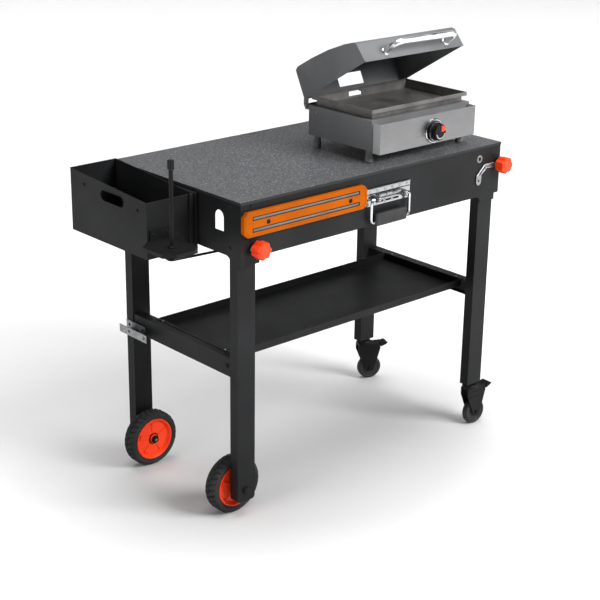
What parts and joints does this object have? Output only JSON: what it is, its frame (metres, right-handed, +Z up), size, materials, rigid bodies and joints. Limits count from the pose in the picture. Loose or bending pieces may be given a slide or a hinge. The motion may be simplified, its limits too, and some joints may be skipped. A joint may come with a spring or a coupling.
{
  "type": "flat top griddle",
  "caption": "Hooded flat top griddle standing on a wheeled steel cart with a shelf tray, side bin with towel post, tool strip, carry handle and lock knobs.",
  "frame": {"origin": "on the floor, under the centre of the overall bounding box", "axes": "+X from the side bin to the caster end, +Y from the front apron with the handle to the back, +Z up"},
  "size_m": [1.1843, 0.575, 1.1997],
  "materials": {
    "black": "satin black powder coat",
    "top": "hammered, speckled grey",
    "orange": "moulded, satin",
    "strip": "moulded, satin",
    "steel": "brushed",
    "chrome": "polished",
    "zinc": "bright zinc plated",
    "rubber": "matte",
    "tyre": "matte, ribbed",
    "plastic": "matte",
    "graphite": "satin graphite",
    "hood": "satin graphite",
    "plate": "seasoned, satin",
    "brass": "machined",
    "ceramic": "glazed"
  },
  "bodies": {
    "cart": {"tabletop": "top", "front_apron": "black", "back_apron": "black", "left_apron": "black", "right_apron": "black", "leg_front_left": "black", "leg_back_left": "black", "leg_front_right": "black", "leg_back_right": "black", "crossbar_left": "black", "crossbar_right": "black", "shelf_tray": "black", "side_bracket": "zinc", "lock_strap": "zinc", "tool_strip": "strip", "tool_strip_bar_low": "steel", "tool_strip_bar_high": "steel", "handle_plate": "chrome", "axle_front": "zinc", "axle_back": "zinc", "leg_plug_front": "plastic", "leg_plug_back": "plastic", "bin_stay": "plastic"},
    "wheel_front": {"tyre_front": "tyre", "rim_front": "orange"},
    "wheel_back": {"tyre_back": "tyre", "rim_back": "orange"},
    "caster_front": {"caster_fork_front": "plastic"},
    "caster_front_wheel": {"caster_wheel_front": "rubber"},
    "caster_front_pedal": {"caster_pedal_front": "plastic"},
    "caster_back": {"caster_fork_back": "plastic"},
    "caster_back_wheel": {"caster_wheel_back": "rubber"},
    "caster_back_pedal": {"caster_pedal_back": "plastic"},
    "knob_front_left": {"knob_front_left": "orange"},
    "knob_front_right": {"knob_front_right": "orange"},
    "knob_back_left": {"knob_back_left": "orange"},
    "knob_back_right": {"knob_back_right": "orange"},
    "handle": {"handle_bail": "chrome", "handle_grip": "rubber"},
    "bin": {"side_bin": "black", "bin_hook": "black", "bin_hanger": "black", "towel_base": "plastic", "towel_post": "plastic"},
    "griddle": {"griddle_body": "graphite", "front_panel": "steel", "griddle_plate": "plate", "burner_tube": "zinc", "gas_valve": "brass", "gas_regulator": "brass", "igniter_electrode": "ceramic", "hinge_left": "zinc", "hinge_right": "zinc", "dial_bezel": "chrome"},
    "dial_stem": {"dial_stem": "zinc"},
    "dial": {"dial": "plastic", "dial_pointer": "orange"},
    "hood": {"hood": "hood", "hood_handle": "chrome"},
    "grease_cup": {"grease_cup": "steel"}
  },
  "joints": [
    {"name": "wheel_front_spin", "type": "hinge", "parent": "cart", "child": "wheel_front", "pos_m": [-0.37, -0.178, 0.08], "axis": [0, 1, 0], "continuous": true},
    {"name": "wheel_back_spin", "type": "hinge", "parent": "cart", "child": "wheel_back", "pos_m": [-0.37, 0.186, 0.08], "axis": [0, 1, 0], "continuous": true},
    {"name": "caster_front_swivel", "type": "hinge", "parent": "cart", "child": "caster_front", "pos_m": [0.514, -0.229, 0.123], "axis": [0, 0, 1], "continuous": true},
    {"name": "caster_front_wheel_spin", "type": "hinge", "parent": "caster_front", "child": "caster_front_wheel", "pos_m": [0.53397, -0.23005, 0.0385], "axis": [0.0523, 0.9986, 0], "continuous": true},
    {"name": "caster_front_pedal_press", "type": "hinge", "parent": "caster_front", "child": "caster_front_pedal", "pos_m": [0.55944, -0.23138, 0.1145], "axis": [0.0523, 0.9986, 0], "range_deg": [0, 12]},
    {"name": "caster_back_swivel", "type": "hinge", "parent": "cart", "child": "caster_back", "pos_m": [0.514, 0.228, 0.123], "axis": [0, 0, 1], "continuous": true},
    {"name": "caster_back_wheel_spin", "type": "hinge", "parent": "caster_back", "child": "caster_back_wheel", "pos_m": [0.53213, 0.21955, 0.0385], "axis": [0.4226, 0.9063, 0], "continuous": true},
    {"name": "caster_back_pedal_press", "type": "hinge", "parent": "caster_back", "child": "caster_back_pedal", "pos_m": [0.55524, 0.20877, 0.1145], "axis": [0.4226, 0.9063, 0], "range_deg": [0, 12]},
    {"name": "knob_front_left_turn", "type": "hinge", "parent": "cart", "child": "knob_front_left", "pos_m": [-0.352, -0.249, 0.751], "axis": [0, -1, 0], "continuous": true},
    {"name": "knob_back_left_turn", "type": "hinge", "parent": "cart", "child": "knob_back_left", "pos_m": [-0.352, 0.249, 0.751], "axis": [0, 1, 0], "continuous": true},
    {"name": "knob_front_right_turn", "type": "hinge", "parent": "cart", "child": "knob_front_right", "pos_m": [0.553, -0.249, 0.814], "axis": [0, -1, 0], "continuous": true},
    {"name": "knob_back_right_turn", "type": "hinge", "parent": "cart", "child": "knob_back_right", "pos_m": [0.553, 0.249, 0.814], "axis": [0, 1, 0], "continuous": true},
    {"name": "handle_swing", "type": "hinge", "parent": "cart", "child": "handle", "pos_m": [0.108, -0.2625, 0.803], "axis": [-1, 0, 0], "range_deg": [0, 95]},
    {"name": "bin_lift", "type": "slide", "parent": "cart", "child": "bin", "axis": [0, 0, 1], "range_m": [0, 0.18]},
    {"name": "griddle_lift", "type": "slide", "parent": "cart", "child": "griddle", "axis": [0, 0, 1], "range_m": [0, 0.1]},
    {"name": "hood_swing", "type": "hinge", "parent": "griddle", "child": "hood", "pos_m": [0.2905, 0.066, 0.989], "axis": [-1, 0, 0], "range_deg": [-27, 63]},
    {"name": "dial_push", "type": "slide", "parent": "griddle", "child": "dial_stem", "axis": [0, 1, 0], "range_m": [0, 0.004], "stiffness_N_per_m": 400},
    {"name": "dial_turn", "type": "hinge", "parent": "dial_stem", "child": "dial", "pos_m": [0.31, -0.22, 0.94], "axis": [0, -1, 0], "range_deg": [0, 180]},
    {"name": "grease_cup_slide", "type": "slide", "parent": "griddle", "child": "grease_cup", "axis": [0, 1, 0], "range_m": [0, 0.06]}
  ]
}
